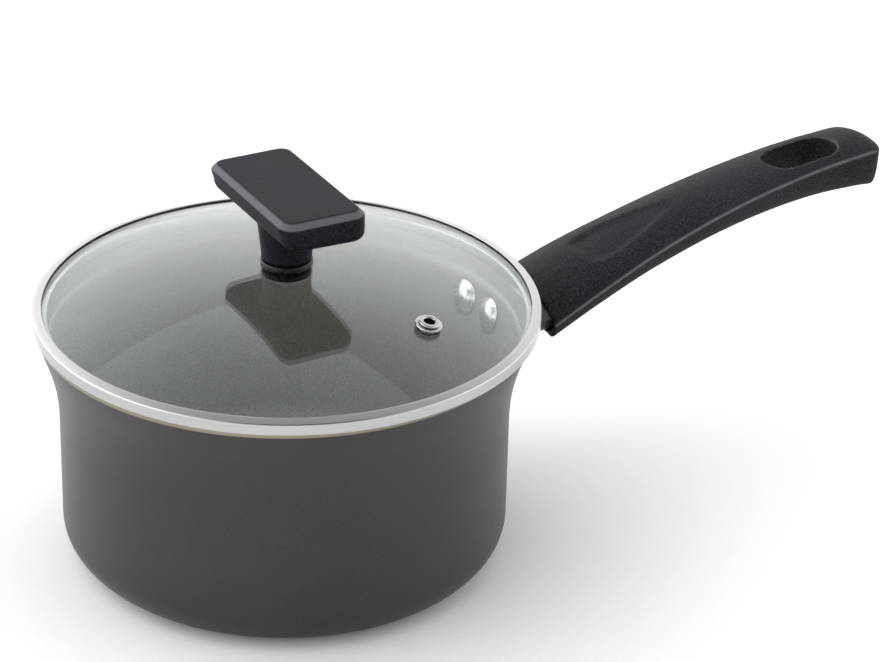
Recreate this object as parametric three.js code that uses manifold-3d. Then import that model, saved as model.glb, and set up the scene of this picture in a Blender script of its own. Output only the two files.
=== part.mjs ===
// A saucepan with a riveted, moulded handle and a domed glass lid with a bar-shaped knob.
// Millimetres, +Z up. The origin is on the pan's axis at its base, and the handle runs along +X.
import * as THREE from "three";
import { mergeVertices } from "three/addons/utils/BufferGeometryUtils.js";
import Module from "manifold-3d";

const wasm = await Module();
wasm.setup();

const degrees = THREE.MathUtils.degToRad;

// ---- driving dimensions ----

const gap = 0.3; // clearance between pieces that touch
const facets = 60; // flats round each large turned piece
const smallFacets = 20; // flats round each small turned piece

const pan = {
  wallRadius: 83.6, // outside of the straight wall
  height: 93.1,
  wall: 2.8,
  base: 3.2,
  cornerRadius: 13.5, // outside radius between wall and base
  flareDrop: 38.8, // the flare starts this far below the rim
  flareRadius: 84,
  flareTilt: degrees(18.75), // lean of the rim's straight cone
  seatDrop: 9.5, // the coined lid seat reaches this far below the rim
  seatCut: 0.8, // and is this much thinner than the wall
  rimChamfer: 0.6,
  grooves: [36, 58], // middle radii of the turned rings under the base
  grooveWidth: 4,
  grooveDepth: 0.6,
};

const rivet = {
  drop: 18.6, // below the rim
  spread: 18.2, // between the two rivets
  shank: 2.8,
  head: 6.6,
  headHeight: 2.6,
  shopHead: 3.5,
  shopHeight: 1.7,
};

const bracket = {
  thickness: 2,
  tongueHalfWidth: 11,
  tongueThickness: 2,
  tongueBend: 3, // it bends upwards this far before the handle's mouth
  tongueLength: 42, // and ends this far past it
  tongueRise: degrees(23),
  ribThickness: 1.6,
};

// The flame guard's half-width, foot, shoulder and crown, at the wall and at its inner end.
// Heights are below the rim.
const guard = {
  wall: 1,
  insert: 6, // depth inside the handle's mouth
  atWall: { half: 20, foot: 27.4, shoulder: 18.2, crown: 13 },
  atEnd: { half: 19.4, foot: 23.4, shoulder: 19, crown: 15 },
};

const handle = {
  mouth: 13.9, // from the rim to the curved mouth
  tip: 172.1, // from the rim to the tip
  tipRound: 7.5, // length of the rounded end
  slotFromTip: 33.3, // middle of the hanging slot
  slotLength: 33,
  slotWidth: 18,
  screwFromMouth: 36,
};

// The handle's outline: `out` from the rim, half-width, and heights above the rim of the side crease
// and of the belly. The crown stands above the crease.
const handleStations = [
  { out: 5.4, half: 23.8, crease: -22.7, crown: 6.9, belly: -30 },
  { out: 32.9, half: 22.3, crease: -11.3, crown: 6.2, belly: -18.7 },
  { out: 62.9, half: 19.3, crease: -1.2, crown: 5.2, belly: -9.5 },
  { out: 97.9, half: 16.9, crease: 7.8, crown: 4, belly: -1.7 },
  { out: 132.9, half: 15.3, crease: 13.8, crown: 3, belly: 2.1 },
  { out: 162.9, half: 14.1, crease: 16.3, crown: 2.6, belly: 1.2 },
  { out: 172.1, half: 13.6, crease: 16.1, crown: 2.4, belly: -0.9 },
];

const lid = {
  turn: degrees(-2), // how the lid happens to lie on the pan
  shift: [0.7, -0.4],
  overhang: 1.1, // band past the rim
  sheet: 0.4, // the band's steel
  bandHeight: 3.9,
  lipWidth: 3.6,
  lipRound: 1,
  skirtDrop: 3.4,
  skirtPlay: 1.5, // between the skirt and the flare
  glass: 3,
  domeRadius: 277,
  knobHole: 3.3,
};

const vent = {
  radius: 61.5, // from the lid's axis
  angle: degrees(-61.3),
  bore: 2.1,
  tube: 2.8,
  washer: 5,
  washerThickness: 0.7,
  roll: 3.9,
  rollThickness: 0.8,
  gasket: 4.8,
  gasketThickness: 1,
  foot: 4.2,
};

const knob = {
  length: 66,
  width: 34,
  thickness: 12,
  corner: 6,
  bevel: 2.3, // height and width of the bevel round the top
  bevelInset: 1.7,
  lowBevel: 4, // and round the underside
  lowInset: 3.2,
  stemHeight: 16.6,
  stemTop: 11.2,
  stemFoot: 9.3,
  angle: degrees(-90),
};

const knobFixing = {
  insert: 3.9, // brass insert's radius
  insertLength: 14,
  flange: 5.2,
  thread: 2.4, // radius of the tapped hole
  screw: 2,
  screwReach: 8, // into the insert
  screwHead: 4.4,
  screwHeadHeight: 2.6,
  lockWasher: 4,
  lockWasherThickness: 0.9,
  washer: 8.4,
  washerThickness: 1,
  gasket: 9,
  gasketThickness: 1.4,
  collar: 9.7,
  collarHeight: 2.4,
};

const handleFixing = {
  screw: 2.4,
  headRadius: 4.4,
  headHeight: 2.2,
  washer: 5.2,
  washerThickness: 0.8,
  counterDepth: 3.4, // washer seat above the belly
};

// ---- materials ----

const finishes = {
  enamel: { color: 0x45423f, roughness: 0.5, metalness: 0.1 },
  phenolic: { color: 0x2b2c30, roughness: 0.6, metalness: 0 },
  aluminium: { color: 0xc9cccf, roughness: 0.3, metalness: 1 },
  stainless: { color: 0xd2d0cb, roughness: 0.2, metalness: 1 },
  paintedSteel: { color: 0x5a5c5e, roughness: 0.4, metalness: 0.7 },
  zincSteel: { color: 0xb4b6b8, roughness: 0.35, metalness: 1 },
  brass: { color: 0xb08d4a, roughness: 0.35, metalness: 1 },
  silicone: { color: 0x1d1e20, roughness: 0.45, metalness: 0 },
  glass: { color: 0xaebcba, roughness: 0.05, metalness: 0, transparent: true, opacity: 0.35 },
};
const materials = Object.fromEntries(
  Object.entries(finishes).map(([name, finish]) => [name, new THREE.MeshStandardMaterial(finish)]),
);

// ---- solids ----

function solidOf(geometry) {
  const bare = geometry.clone();
  bare.deleteAttribute("normal");
  bare.deleteAttribute("uv");
  const merged = mergeVertices(bare, 1e-4);
  return new wasm.Manifold(
    new wasm.Mesh({
      numProp: 3,
      vertProperties: merged.attributes.position.array,
      triVerts: new Uint32Array(merged.index.array),
    }),
  );
}

function geometryOf(solid) {
  const { vertProperties, triVerts } = solid.getMesh();
  const geometry = new THREE.BufferGeometry();
  geometry.setAttribute("position", new THREE.BufferAttribute(vertProperties, 3));
  geometry.setIndex(new THREE.BufferAttribute(triVerts, 1));
  geometry.computeVertexNormals();
  return geometry;
}

function addPiece(parent, name, solid, finish) {
  const mesh = new THREE.Mesh(geometryOf(solid), materials[finish]);
  mesh.name = name;
  parent.add(mesh);
}

// A solid turned about Z from [radius, height] points that run up the outside and back down the inside.
function turned(points, flats = facets) {
  const closed = points[0][0] > 0 ? [...points, points[0]] : points;
  const profile = closed.map(([r, z]) => new THREE.Vector2(r, z));
  return solidOf(new THREE.LatheGeometry(profile, flats).rotateX(Math.PI / 2));
}

function disc(radius, low, high, flats = smallFacets) {
  return turned([[0, low], [radius, low], [radius, high], [0, high]], flats);
}

function ring(inner, outer, low, high, flats = smallFacets) {
  return turned([[inner, low], [outer, low], [outer, high], [inner, high]], flats);
}

function box(sizeX, sizeY, sizeZ, x, y, z) {
  return solidOf(new THREE.BoxGeometry(sizeX, sizeY, sizeZ).translate(x, y, z));
}

// Points along an arc about [r, z], between two angles measured from +r towards +z.
function arc([r, z], radius, from, to, steps) {
  return Array.from({ length: steps + 1 }, (_, i) => {
    const angle = from + ((to - from) * i) / steps;
    return [r + radius * Math.cos(angle), z + radius * Math.sin(angle)];
  });
}

// A rectangle with round corners, centred on the origin.
function roundedRectangle(halfX, halfY, corner) {
  const shape = new THREE.Shape();
  shape.moveTo(halfX - corner, -halfY);
  shape.absarc(halfX - corner, corner - halfY, corner, -Math.PI / 2, 0);
  shape.absarc(halfX - corner, halfY - corner, corner, 0, Math.PI / 2);
  shape.absarc(corner - halfX, halfY - corner, corner, Math.PI / 2, Math.PI);
  shape.absarc(corner - halfX, corner - halfY, corner, Math.PI, Math.PI * 1.5);
  return shape;
}

// Turns an extrusion of a section (x sideways, y up) so that it runs along +X.
function alongX(geometry) {
  const cycle = new THREE.Matrix4().makeBasis(
    new THREE.Vector3(0, 1, 0),
    new THREE.Vector3(0, 0, 1),
    new THREE.Vector3(1, 0, 0),
  );
  return geometry.applyMatrix4(cycle);
}

// ---- pan ----

const flareFoot = pan.height - pan.flareDrop;
const flareCentre = [pan.wallRadius + pan.flareRadius, flareFoot];
const flareArcHeight = pan.flareRadius * Math.sin(pan.flareTilt);

// The radius of the pan's outer face, set outwards by `offset`, at a height on the flare or wall.
function outerRadius(height, offset = 0) {
  const radius = pan.flareRadius - offset;
  const rise = height - flareFoot;
  if (rise <= 0) return pan.wallRadius + offset;
  const arcRise = radius * Math.sin(pan.flareTilt);
  if (rise <= arcRise) return flareCentre[0] - Math.sqrt(radius ** 2 - rise ** 2);
  return flareCentre[0] - radius * Math.cos(pan.flareTilt) + (rise - arcRise) * Math.tan(pan.flareTilt);
}

const rimRadius = outerRadius(pan.height);
const rimInner = outerRadius(pan.height, pan.seatCut - pan.wall);

// The pan's outer face from the wall's foot to the rim, set outwards by `offset`.
function flareLine(offset) {
  const turn = arc(flareCentre, pan.flareRadius - offset, Math.PI, Math.PI - pan.flareTilt, 5);
  return [...turn, [outerRadius(pan.height, offset), pan.height]];
}

// Grooves turned into the flat underside, as profile points from the axis outwards.
function grooveLine() {
  const half = pan.grooveWidth / 2;
  return pan.grooves.flatMap((radius) => [
    [radius - half, 0],
    [radius - half + pan.grooveDepth, pan.grooveDepth],
    [radius + half - pan.grooveDepth, pan.grooveDepth],
    [radius + half, 0],
  ]);
}

function panShell() {
  const { wallRadius, wall, base, cornerRadius, height, rimChamfer, seatDrop, seatCut } = pan;
  const cornerCentre = [wallRadius - cornerRadius, cornerRadius];
  const innerCentre = [cornerCentre[0], base + cornerRadius - wall];
  const seatFoot = height - seatDrop;
  const outside = flareLine(0).slice(0, -1);
  const inside = flareLine(-wall).filter(([, z]) => z < seatFoot - 1).reverse();
  return turned([
    [0, 0],
    ...grooveLine(),
    ...arc(cornerCentre, cornerRadius, -Math.PI / 2, 0, 5),
    ...outside,
    [outerRadius(height - rimChamfer), height - rimChamfer],
    [rimRadius - rimChamfer, height],
    [rimInner + rimChamfer, height],
    [outerRadius(height - rimChamfer, seatCut - wall), height - rimChamfer],
    [outerRadius(seatFoot, seatCut - wall), seatFoot],
    [outerRadius(seatFoot - seatCut / 2, -wall), seatFoot - seatCut / 2],
    ...inside,
    ...arc(innerCentre, cornerRadius - wall, 0, -Math.PI / 2, 4),
    [0, base],
  ]);
}

// ---- rivets, bracket and flame guard ----

const rivetHeight = pan.height - rivet.drop;
const rivetTilt = Math.asin((rivetHeight - flareFoot) / pan.flareRadius);
const rivetAngle = Math.asin(rivet.spread / 2 / outerRadius(rivetHeight));
const wallSag = rivet.head ** 2 / (2 * (outerRadius(rivetHeight) - pan.wall));

// The frame of a rivet: its origin on the pan's outer face and +Z square out of the wall.
function rivetFrame(side) {
  const frame = new THREE.Group();
  const radius = outerRadius(rivetHeight);
  const angle = side * rivetAngle;
  frame.position.set(radius * Math.cos(angle), radius * Math.sin(angle), rivetHeight);
  frame.rotation.set(0, Math.PI / 2 + rivetTilt, angle, "ZYX");
  frame.updateMatrix();
  return frame;
}

function rivetSolid() {
  const { shank, head, headHeight, shopHead, shopHeight } = rivet;
  const seat = -pan.wall - gap - wallSag;
  const shop = bracket.thickness + 3 * gap;
  const domeRadius = (head ** 2 + headHeight ** 2) / (2 * headHeight);
  const domeCentre = [0, seat - headHeight + domeRadius];
  const sweep = Math.asin(head / domeRadius);
  return turned(
    [
      ...arc(domeCentre, domeRadius, -Math.PI / 2, sweep - Math.PI / 2, 6),
      [shank, seat],
      [shank, shop],
      [shopHead, shop],
      [shopHead, shop + shopHeight / 2],
      [shopHead * 0.7, shop + shopHeight],
      [0, shop + shopHeight],
    ],
    smallFacets,
  );
}

const rivetFrames = { left: rivetFrame(1), right: rivetFrame(-1) };

// Clearance holes for both rivets, through the wall and the flange.
function rivetHoles() {
  const reach = pan.wall + bracket.thickness + 4;
  const holes = Object.values(rivetFrames).map(({ matrix }) =>
    disc(rivet.shank + gap, -reach, reach).transform(matrix.elements),
  );
  return holes[0].add(holes[1]);
}

const mouthRadius = rimRadius + handle.mouth;
const guardEnd = mouthRadius + guard.insert;

// A size of the flame guard at a distance from the pan's axis.
function guardSize(key, x) {
  const along = (x - pan.wallRadius) / (guardEnd - pan.wallRadius);
  return guard.atWall[key] + (guard.atEnd[key] - guard.atWall[key]) * along;
}

// The guard's section at a distance from the pan's axis, shrunk all round by `inset`.
function guardSection(x, inset) {
  return {
    half: guardSize("half", x) - inset,
    low: pan.height - guardSize("foot", x) + inset,
    middle: pan.height - guardSize("shoulder", x),
    high: pan.height - guardSize("crown", x) - inset,
  };
}

// The space inside the pan's outer face, set outwards by `offset`, from below the flare up to the rim.
function insideWall(offset) {
  const low = flareFoot - 20;
  return turned([[0, low], [pan.wallRadius + offset, low], ...flareLine(offset), [0, pan.height]]);
}

// The tongue's middle line in X and Z: along the guard's floor to the bend, then up along the handle.
const tongueStart = outerRadius(rivetHeight) + gap + bracket.thickness / 2;
const tongueBend = mouthRadius - bracket.tongueBend;
const tongueEnd = mouthRadius + bracket.tongueLength;
const tongueLift = bracket.tongueThickness / 2 / Math.cos(bracket.tongueRise) + gap;

function tongueMiddle(x) {
  const onFloor = Math.min(x, tongueBend);
  const rise = (x - onFloor) * Math.tan(bracket.tongueRise);
  return guardSection(onFloor, guard.wall).low + tongueLift + rise;
}

// The tongue's side outline between two distances from the axis, thicker all round by `room`.
function tongueOutline(start, end, room) {
  const half = bracket.tongueThickness / 2 + room;
  const places = [start, tongueBend, end];
  const lower = places.map((x) => new THREE.Vector2(x, tongueMiddle(x) - half));
  const upper = places.map((x) => new THREE.Vector2(x, tongueMiddle(x) + half)).reverse();
  return new THREE.Shape([...lower, ...upper]);
}

// An outline in X and Z made `width` thick, centred on Y = y.
function sideways(shape, width, y = 0) {
  const geometry = new THREE.ExtrudeGeometry(shape, { depth: width, bevelEnabled: false, curveSegments: 8 });
  return solidOf(geometry.rotateX(Math.PI / 2).translate(0, y + width / 2, 0));
}

// The bracket: a flange that follows the wall inside the guard, a bent tongue and a stiffening rib.
function bracketSolid() {
  const { thickness, tongueHalfWidth, ribThickness } = bracket;
  const guardSpace = loft([pan.wallRadius - 4, mouthRadius], (x) => guardSection(x, guard.wall + gap));
  const flange = insideWall(gap + thickness).subtract(insideWall(gap)).intersect(guardSpace);
  const tongue = sideways(tongueOutline(tongueStart, tongueEnd, 0), tongueHalfWidth * 2);
  const rib = new THREE.Shape([
    new THREE.Vector2(tongueStart - 1, tongueMiddle(tongueStart)),
    new THREE.Vector2(tongueBend, tongueMiddle(tongueBend)),
    new THREE.Vector2(tongueStart + 3, rivetHeight),
    new THREE.Vector2(tongueStart, rivetHeight),
  ]);
  return flange
    .add(tongue)
    .add(sideways(rib, ribThickness))
    .subtract(rivetHoles())
    .subtract(handleScrewHole());
}

// A band of sections along X. `section(x)` gives the half-width and the low, middle and high heights
// that the unit outline is stretched to.
function loft(places, section) {
  const steps = places.length - 1;
  const blank = new THREE.ExtrudeGeometry(unitSection(), { depth: steps, steps, bevelEnabled: false });
  const position = blank.getAttribute("position");
  for (let i = 0; i < position.count; i++) {
    const x = places[Math.round(position.getZ(i))];
    const { half, low, middle, high } = section(x);
    const up = position.getY(i);
    position.setXYZ(i, position.getX(i) * half, middle + up * (up > 0 ? high - middle : middle - low), x);
  }
  return solidOf(alongX(blank));
}

function guardSolid() {
  const places = [pan.wallRadius - 2, guardEnd];
  const hollow = [pan.wallRadius - 4, guardEnd + 2];
  return loft(places, (x) => guardSection(x, 0))
    .subtract(loft(hollow, (x) => guardSection(x, guard.wall)))
    .subtract(insideWall(gap));
}

// ---- handle ----

// A size of the handle at a distance from the pan's axis, on a smooth curve through the stations.
function handleSize(key, x) {
  const out = x - rimRadius;
  const last = handleStations.length - 1;
  const i = Math.max(1, handleStations.findIndex((s, n) => s.out >= out || n === last));
  const [a, b] = [handleStations[i - 1], handleStations[i]];
  const before = handleStations[i - 2] ?? a;
  const after = handleStations[i + 1] ?? b;
  const span = b.out - a.out;
  const startSlope = ((b[key] - before[key]) / (b.out - before.out)) * span;
  const endSlope = ((after[key] - a[key]) / (after.out - a.out)) * span;
  const t = (out - a.out) / span;
  const ease = 3 * t ** 2 - 2 * t ** 3;
  const bow = t ** 3 - 2 * t ** 2 + t;
  return a[key] + ease * (b[key] - a[key]) + bow * startSlope + (t ** 3 - t ** 2) * endSlope;
}

const bellyHeight = (x) => pan.height + handleSize("belly", x);

// The section as a unit outline: x from -1 to 1 across, y up to 1 at the crown, 0 at the side creases
// and down to -1 at the belly.
function unitSection() {
  const crownPoints = 10;
  const crownLine = Array.from({ length: crownPoints + 1 }, (_, i) => {
    const x = 1 - (2 * i) / crownPoints;
    return new THREE.Vector2(x, 1 - x * x);
  });
  const rightSide = [[0.78, -1], [0.9, -0.8], [0.97, -0.45]].map(([x, y]) => new THREE.Vector2(x, y));
  const leftSide = rightSide.map(({ x, y }) => new THREE.Vector2(-x, y)).reverse();
  return new THREE.Shape([...crownLine, ...leftSide, ...rightSide]);
}

const tipRadius = rimRadius + handle.tip;

// Distances from the pan's axis of the handle's sections, closer together round the tip.
function sectionPlaces() {
  const start = mouthRadius - 9;
  const roundStart = tipRadius - handle.tipRound;
  const [along, round] = [19, 7];
  return [
    ...Array.from({ length: along }, (_, i) => start + ((roundStart - start) * i) / along),
    ...Array.from({ length: round + 1 }, (_, i) =>
      roundStart + handle.tipRound * Math.sin((i * Math.PI) / 2 / round)),
  ];
}

function handleBlank() {
  return loft(sectionPlaces(), (x) => {
    const into = Math.max(0, (x - tipRadius + handle.tipRound) / handle.tipRound);
    const narrow = Math.sqrt(1 - 0.8 * into ** 3); // plan of the rounded end
    const crownLeft = 1 - 0.8 * into ** 3; // the crown rolls over the end, and the belly a little
    const bellyLeft = 1 - 0.25 * into ** 3;
    const middle = pan.height + handleSize("crease", x);
    return {
      half: handleSize("half", x) * narrow,
      low: middle - (middle - bellyHeight(x)) * bellyLeft,
      middle,
      high: middle + handleSize("crown", x) * crownLeft,
    };
  });
}

const screwPlace = mouthRadius + handle.screwFromMouth;
const screwBelly = bellyHeight(screwPlace);

// The upright clearance hole for the handle's screw.
function handleScrewHole() {
  const top = tongueMiddle(screwPlace) + handleFixing.screw + 2;
  return disc(handleFixing.screw + gap, screwBelly - 4, top).translate(screwPlace, 0, 0);
}

// The hollow that takes the flame guard and, further in, the tongue.
function handlePocket() {
  const room = 2 * gap;
  const places = [pan.wallRadius, guardEnd + gap];
  const start = mouthRadius - 12;
  const tongueRoom = sideways(
    tongueOutline(start, tongueEnd + gap, room),
    (bracket.tongueHalfWidth + gap) * 2,
  );
  return loft(places, (x) => guardSection(x, -room)).add(tongueRoom);
}

function hangingSlot() {
  const { slotLength, slotWidth, slotFromTip } = handle;
  const radius = slotWidth / 2;
  const middle = tipRadius - slotFromTip;
  const stadium = roundedRectangle(slotLength / 2, radius, radius - 0.01);
  const tool = new THREE.ExtrudeGeometry(stadium, { depth: 60, bevelEnabled: false, curveSegments: 8 });
  return solidOf(tool.translate(middle, 0, pan.height - 20));
}

function handleSolid() {
  const mouthCut = disc(mouthRadius, 0, pan.height * 2, facets * 2);
  const seat = screwBelly + handleFixing.counterDepth;
  const counterbore = disc(handleFixing.washer + 2 * gap, screwBelly - 6, seat);
  return handleBlank()
    .subtract(mouthCut)
    .subtract(handlePocket())
    .subtract(hangingSlot())
    .subtract(counterbore.translate(screwPlace, 0, 0))
    .subtract(handleScrewHole());
}

// ---- lid ----

const bandRadius = rimRadius + lid.overhang;
const glassRadius = bandRadius - lid.sheet - 2.5 * gap;

// Heights in the lid's frame, whose origin is on the axis at the band's underside.
const glassEdge = lid.sheet + gap;
const edgeThickness = lid.glass / Math.cos(Math.asin(glassRadius / lid.domeRadius));
const domeCentre = glassEdge + edgeThickness - Math.sqrt(lid.domeRadius ** 2 - glassRadius ** 2);
const crown = domeCentre + lid.domeRadius;

function glassTop(radius) {
  return domeCentre + Math.sqrt(lid.domeRadius ** 2 - radius ** 2);
}

function glassUnder(radius) {
  return domeCentre + Math.sqrt((lid.domeRadius - lid.glass) ** 2 - radius ** 2);
}

function bandSolid() {
  const { sheet, bandHeight, lipWidth, lipRound, skirtDrop, skirtPlay } = lid;
  const lipRadius = bandRadius - lipWidth;
  const lipUnder = glassTop(lipRadius) + gap;
  const shoulder = glassTop(glassRadius) + gap;
  const skirt = rimInner - skirtDrop * Math.tan(pan.flareTilt) - skirtPlay;
  return turned([
    [skirt, -skirtDrop],
    [skirt, 0],
    [bandRadius - sheet, 0],
    [bandRadius, sheet],
    [bandRadius, bandHeight],
    [bandRadius - lipRound, shoulder + sheet],
    [lipRadius, lipUnder + sheet],
    [lipRadius, lipUnder],
    [bandRadius - lipRound, shoulder],
    [bandRadius - sheet, bandHeight - sheet / 2],
    [bandRadius - sheet, sheet],
    [skirt - sheet, sheet],
    [skirt - sheet, -skirtDrop],
  ]);
}

function glassSolid() {
  const steps = 6;
  const { knobHole } = lid;
  const span = glassRadius - knobHole;
  const places = Array.from({ length: steps + 1 }, (_, i) => knobHole + (span * i) / steps);
  const under = places.map((r) => [r, glassUnder(r)]);
  const top = places.map((r) => [r, glassTop(r)]).reverse();
  return turned([...under, ...top]).subtract(
    disc(vent.tube + gap, lid.domeRadius - 12, lid.domeRadius + 8).transform(ventFrame().matrix.elements),
  );
}

// The vent's frame: its origin is the dome's centre and +Z runs out through the vent.
function ventFrame() {
  const frame = new THREE.Group();
  frame.position.z = domeCentre;
  frame.rotation.set(0, Math.asin(vent.radius / lid.domeRadius), vent.angle, "ZYX");
  frame.updateMatrix();
  return frame;
}

function addVent(parent) {
  const frame = ventFrame();
  const top = lid.domeRadius;
  const under = top - lid.glass;
  const washerLow = top + gap;
  const washerHigh = washerLow + vent.washerThickness;
  const gasketHigh = under - gap;
  const gasketLow = gasketHigh - vent.gasketThickness;
  const rollLow = washerHigh + gap;
  const footHigh = gasketLow - gap;
  const inner = vent.tube + gap;
  addPiece(frame, "vent_washer", ring(inner, vent.washer, washerLow, washerHigh), "stainless");
  addPiece(frame, "vent_gasket", ring(inner, vent.gasket, gasketLow, gasketHigh), "silicone");
  const eyelet = turned(
    [
      [vent.bore, footHigh - vent.rollThickness],
      [vent.foot, footHigh - vent.rollThickness],
      [vent.foot, footHigh],
      [vent.tube, footHigh],
      [vent.tube, rollLow],
      [vent.roll, rollLow],
      [vent.roll, rollLow + vent.rollThickness / 2],
      [vent.roll - 0.5, rollLow + vent.rollThickness],
      [vent.bore + 0.4, rollLow + vent.rollThickness],
      [vent.bore, rollLow + vent.rollThickness - 0.4],
    ],
    smallFacets,
  );
  addPiece(frame, "vent_eyelet", eyelet, "stainless");
  parent.add(frame);
}

// ---- knob and its fixing ----

const collarLow = crown + gap;
const stemLow = collarLow + knobFixing.collarHeight + gap;
const insertLow = stemLow + 2 * gap;

// The knob's bar, from its underside at height 0, as layers of one outline drawn in at both bevels.
function knobBar() {
  const { length, width, thickness, corner, bevel, bevelInset, lowBevel, lowInset } = knob;
  const layers = [[0, lowInset], [lowBevel, 0], [thickness - bevel, 0], [thickness, bevelInset]];
  const steps = layers.length - 1;
  const [halfX, halfY] = [length / 2, width / 2];
  const outline = roundedRectangle(halfX, halfY, corner);
  const settings = { depth: steps, steps, bevelEnabled: false, curveSegments: 5 };
  const bar = new THREE.ExtrudeGeometry(outline, settings);
  const position = bar.getAttribute("position");
  for (let i = 0; i < position.count; i++) {
    const [height, inset] = layers[Math.round(position.getZ(i))];
    const x = position.getX(i) * (1 - inset / halfX);
    const y = position.getY(i) * (1 - inset / halfY);
    position.setXYZ(i, x, y, height);
  }
  return solidOf(bar);
}

function knobSolid() {
  const { stemHeight, stemTop, stemFoot } = knob;
  const barLow = stemLow + stemHeight;
  const stem = turned(
    [
      [0, stemLow],
      [stemFoot - 0.6, stemLow],
      [stemFoot, stemLow + 0.6],
      [stemFoot + 0.5, stemLow + stemHeight / 3],
      [stemTop, barLow],
      [stemTop + 1.5, barLow + 2],
      [0, barLow + 2],
    ],
    36,
  );
  const bore = disc(knobFixing.insert + gap, stemLow - 1, insertLow + knobFixing.insertLength + 2);
  const recess = disc(knobFixing.flange + gap, stemLow - 1, insertLow + 2);
  return knobBar().translate(0, 0, barLow).add(stem).subtract(bore).subtract(recess);
}

function insertSolid() {
  const { insert, insertLength, flange, thread } = knobFixing;
  return turned(
    [
      [thread, insertLow],
      [flange, insertLow],
      [flange, insertLow + 1.4],
      [insert, insertLow + 1.4],
      [insert, insertLow + insertLength],
      [thread, insertLow + insertLength],
    ],
    smallFacets,
  );
}

function addKnob(parent) {
  const fixing = knobFixing;
  const frame = new THREE.Group();
  frame.rotation.z = knob.angle;
  addPiece(frame, "knob_grip", knobSolid(), "phenolic");
  addPiece(frame, "knob_insert", insertSolid(), "brass");
  const collarHigh = collarLow + fixing.collarHeight;
  const collar = turned(
    [
      [lid.knobHole, collarLow],
      [fixing.collar - 0.3, collarLow],
      [fixing.collar, collarLow + fixing.collarHeight / 3],
      [fixing.collar - 0.9, collarHigh],
      [lid.knobHole, collarHigh],
    ],
    36,
  );
  addPiece(frame, "knob_collar", collar, "silicone");
  const gasketHigh = glassUnder(fixing.gasket) - gap;
  const washerHigh = gasketHigh - fixing.gasketThickness - gap;
  const lockHigh = washerHigh - fixing.washerThickness - gap;
  const headHigh = lockHigh - fixing.lockWasherThickness - gap;
  const hole = fixing.screw + gap;
  addPiece(frame, "knob_gasket",
    ring(hole, fixing.gasket, gasketHigh - fixing.gasketThickness, gasketHigh, 36), "silicone");
  addPiece(frame, "knob_washer",
    ring(hole, fixing.washer, washerHigh - fixing.washerThickness, washerHigh, 36), "zincSteel");
  addPiece(frame, "knob_lock_washer",
    ring(hole, fixing.lockWasher, lockHigh - fixing.lockWasherThickness, lockHigh), "zincSteel");
  const reach = insertLow + fixing.screwReach - headHigh;
  const screw = screwSolid(fixing.screw, reach, fixing.screwHead, fixing.screwHeadHeight);
  addPiece(frame, "knob_screw", screw.translate(0, 0, headHigh), "zincSteel");
  parent.add(frame);
}

// A pan-head screw that points up, with its head's bearing face at height 0 and a cross recess.
function screwSolid(radius, reach, headRadius, headHeight) {
  const body = turned(
    [
      [0, -headHeight],
      [headRadius * 0.55, -headHeight],
      [headRadius * 0.9, -headHeight * 0.65],
      [headRadius, -headHeight * 0.2],
      [headRadius, 0],
      [radius, 0],
      [radius, reach - radius / 2],
      [radius / 2, reach],
      [0, reach],
    ],
    smallFacets,
  );
  const [long, thin, deep] = [headRadius * 0.9, headRadius * 0.2, headHeight * 0.6];
  const bar = box(long, thin, deep * 2, 0, 0, -headHeight);
  return body.subtract(bar.add(box(thin, long, deep * 2, 0, 0, -headHeight)));
}

// ---- assembly ----

const group = new THREE.Group();

addPiece(group, "pan_body", panShell().subtract(rivetHoles()), "enamel");
for (const [side, frame] of Object.entries(rivetFrames)) {
  addPiece(frame, `rivet_${side}`, rivetSolid(), "aluminium");
  group.add(frame);
}
addPiece(group, "handle_bracket", bracketSolid(), "zincSteel");
addPiece(group, "flame_guard", guardSolid(), "paintedSteel");
addPiece(group, "handle_grip", handleSolid(), "phenolic");

const seatHeight = screwBelly + handleFixing.counterDepth - gap;
const handleScrew = new THREE.Group();
handleScrew.position.set(screwPlace, 0, seatHeight);
addPiece(handleScrew, "handle_screw_washer",
  ring(handleFixing.screw + gap, handleFixing.washer, -handleFixing.washerThickness, 0), "zincSteel");
const screwHeadTop = -handleFixing.washerThickness - gap;
const screwReach = tongueMiddle(screwPlace) + handleFixing.screw - seatHeight - screwHeadTop;
const screw = screwSolid(handleFixing.screw, screwReach, handleFixing.headRadius, handleFixing.headHeight);
addPiece(handleScrew, "handle_screw", screw.translate(0, 0, screwHeadTop), "zincSteel");
group.add(handleScrew);

const lidGroup = new THREE.Group();
lidGroup.position.set(...lid.shift, pan.height + gap);
lidGroup.rotation.z = lid.turn;
addPiece(lidGroup, "lid_glass", glassSolid(), "glass");
addPiece(lidGroup, "lid_band", bandSolid(), "stainless");
addVent(lidGroup);
addKnob(lidGroup);
group.add(lidGroup);

export default group;
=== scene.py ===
"""Saucepan with a riveted, moulded handle and a domed glass lid with a bar-shaped knob.

Metres, +Z up. The origin is on the pan's axis at its base, and the handle runs along +X.
Sizes are held in millimetres, as a maker would give them, and MM turns them into metres.
"""

import logging
import math
from dataclasses import dataclass, field
from enum import Enum
from typing import Callable, Dict, List, Sequence, Tuple

import bmesh
import bpy
from mathutils import Matrix, Vector


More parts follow.
